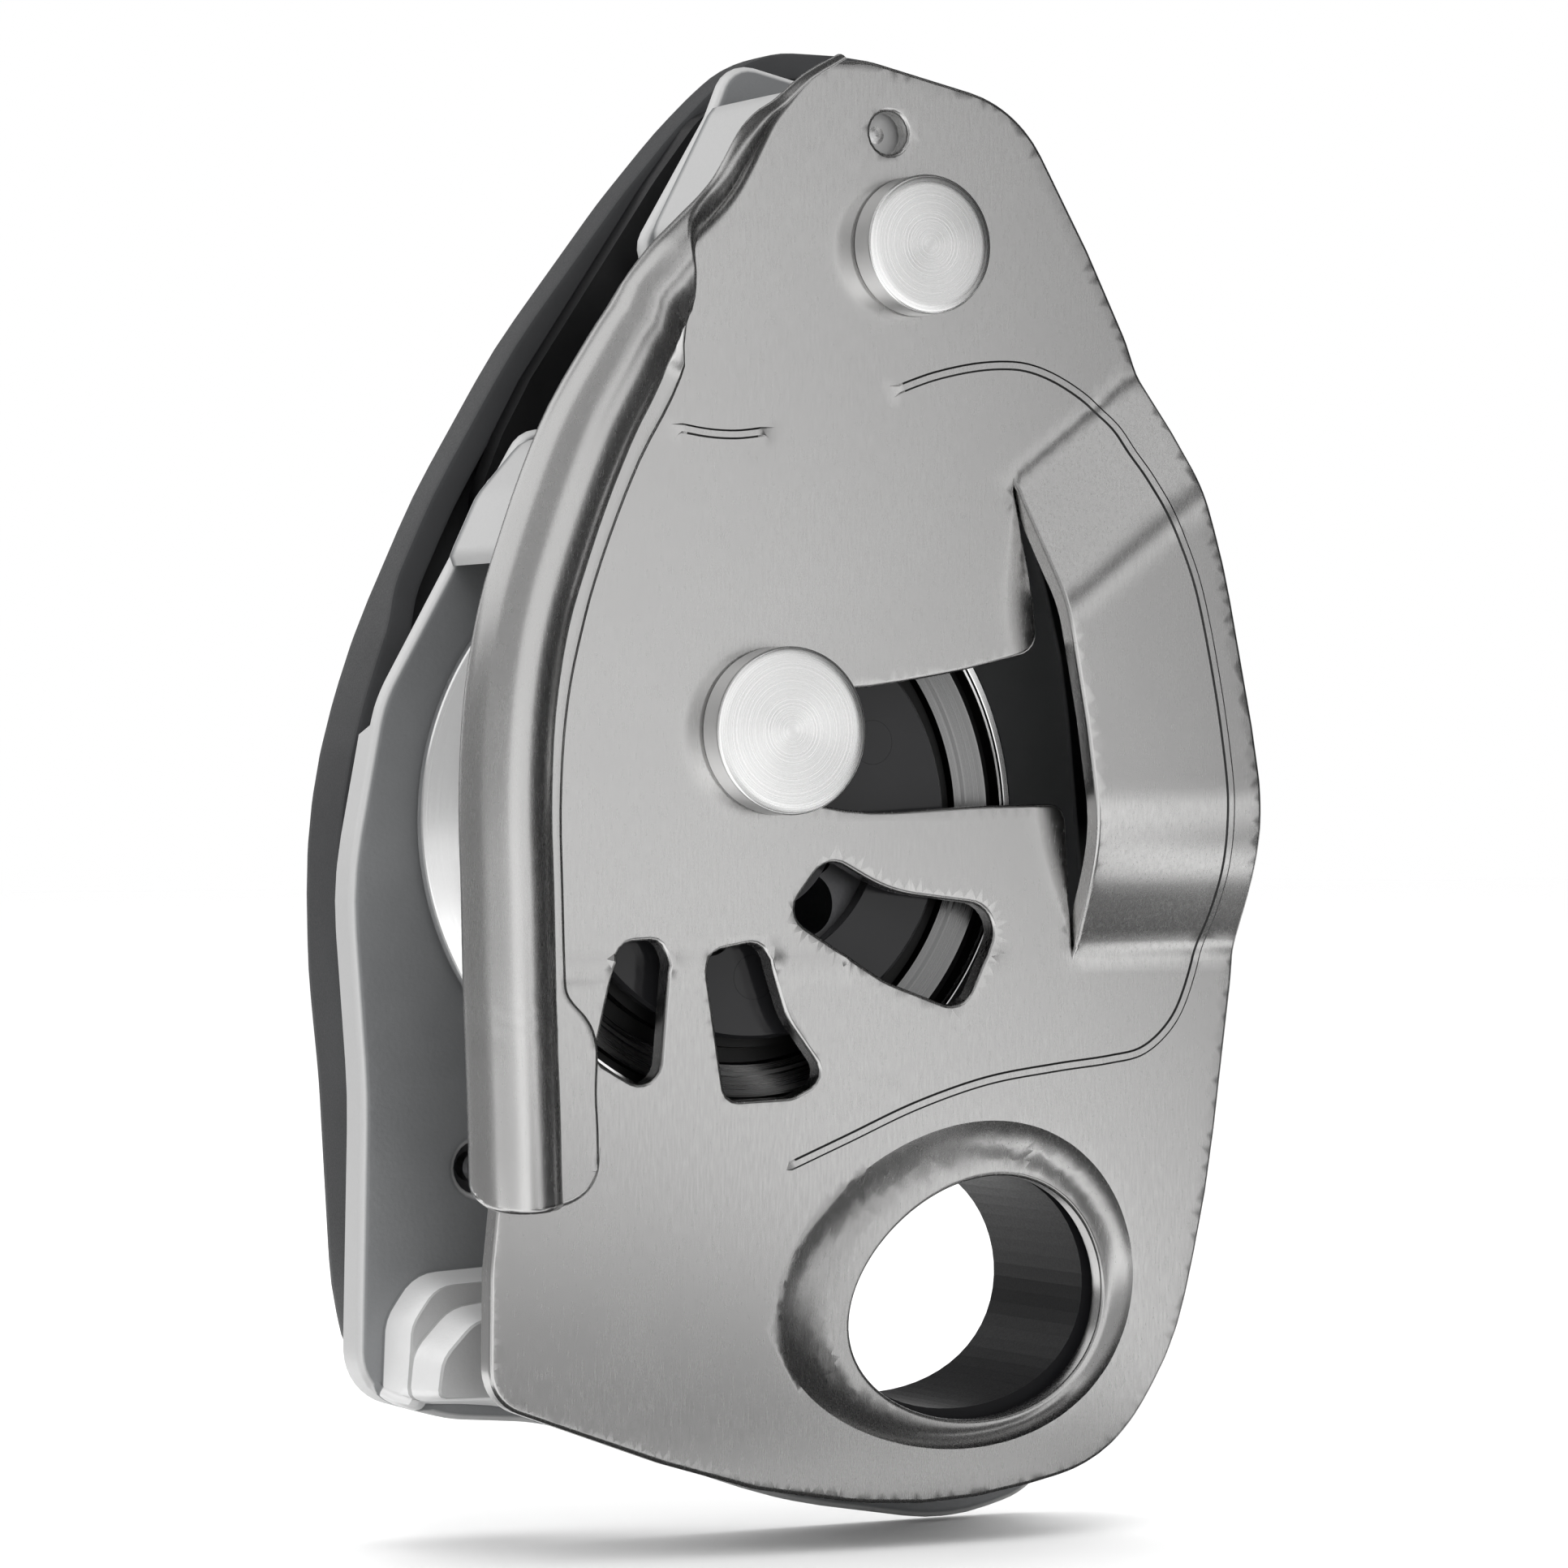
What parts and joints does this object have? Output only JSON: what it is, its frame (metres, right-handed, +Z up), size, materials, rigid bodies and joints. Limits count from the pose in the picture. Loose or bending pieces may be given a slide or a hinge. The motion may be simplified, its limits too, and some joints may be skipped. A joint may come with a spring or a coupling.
{
  "type": "cam-assisted belay device",
  "caption": "Cam-assisted belay device: two side plates round a grooved wheel on a pivoting cam, a swinging front plate, a rolled rope guide and a folding handle.",
  "frame": {"origin": "centre of the attachment hole, level with the outer face of the moving side plate", "axes": "+Z up along the device, +Y along the attachment hole from the moving plate to the handle, +X to the right as the moving plate is seen"},
  "size_m": [0.0799, 0.0362, 0.1317],
  "materials": {
    "plate_aluminium": "pressed sheet, fine satin brushing, anodised warm grey",
    "forged_aluminium": "forged and bead-blasted, with brighter machined faces",
    "rivet_steel": "turned stainless steel with concentric marks",
    "wheel_aluminium": "turned, bright and smooth in the rope groove",
    "wear_steel": "smooth stainless steel",
    "cam_steel": "dark cast stainless steel, blasted",
    "cover_black": "smooth dark glossy disc",
    "liner_black": "moulded black sleeve",
    "handle_nylon": "moulded charcoal nylon, fine spark-eroded grain",
    "lever_steel": "sheared steel plate, dark",
    "bronze": "sintered bronze bush",
    "spring_steel": "drawn spring wire"
  },
  "bodies": {
    "frame": {"fixed_plate": "forged_aluminium", "plate_pivot_rivet": "rivet_steel", "plate_pivot_washer": "rivet_steel", "plate_detent_pin": "rivet_steel", "cam_axle": "rivet_steel", "axle_rear_head": "rivet_steel", "friction_plate": "wear_steel", "friction_plate_rivets": "rivet_steel", "attachment_liner": "liner_black", "spring_anchor_pin": "rivet_steel", "cam_return_spring": "spring_steel"},
    "side_plate": {"moving_plate": "plate_aluminium", "plate_bush": "bronze"},
    "cam": {"cam": "cam_steel", "cam_bush": "bronze", "cam_cover": "cover_black", "cam_cover_screws": "rivet_steel", "cam_drive_pin": "rivet_steel"},
    "wheel": {"wheel": "wheel_aluminium", "wheel_bearing": "bronze"},
    "lever": {"lever_plate_front": "lever_steel", "lever_plate_rear": "lever_steel", "lever_bush": "bronze", "lever_rivets": "rivet_steel", "fold_pin": "rivet_steel", "fold_washer": "rivet_steel"},
    "grip": {"grip_shell": "handle_nylon", "grip_pivot_bush": "bronze"}
  },
  "joints": [
    {"name": "plate_swing", "type": "hinge", "parent": "frame", "child": "side_plate", "pos_m": [-0.0072, 0, 0.0909], "axis": [0, 1, 0], "range_deg": [0, 110]},
    {"name": "cam_pivot", "type": "hinge", "parent": "frame", "child": "cam", "pos_m": [-0.0206, 0, 0.0492], "axis": [0, 1, 0], "range_deg": [0, 28], "stiffness_Nm_per_rad": 0.05, "springref_deg": -22.92},
    {"name": "wheel_spin", "type": "hinge", "parent": "cam", "child": "wheel", "pos_m": [-0.0211, 0, 0.0416], "axis": [0, 1, 0], "continuous": true},
    {"name": "lever_pull", "type": "hinge", "parent": "frame", "child": "lever", "pos_m": [-0.0206, 0, 0.0492], "axis": [0, 1, 0], "range_deg": [-60, 0]},
    {"name": "grip_unfold", "type": "hinge", "parent": "lever", "child": "grip", "pos_m": [-0.0096, 0, 0.0982], "axis": [0, 1, 0], "range_deg": [0, 160]}
  ]
}
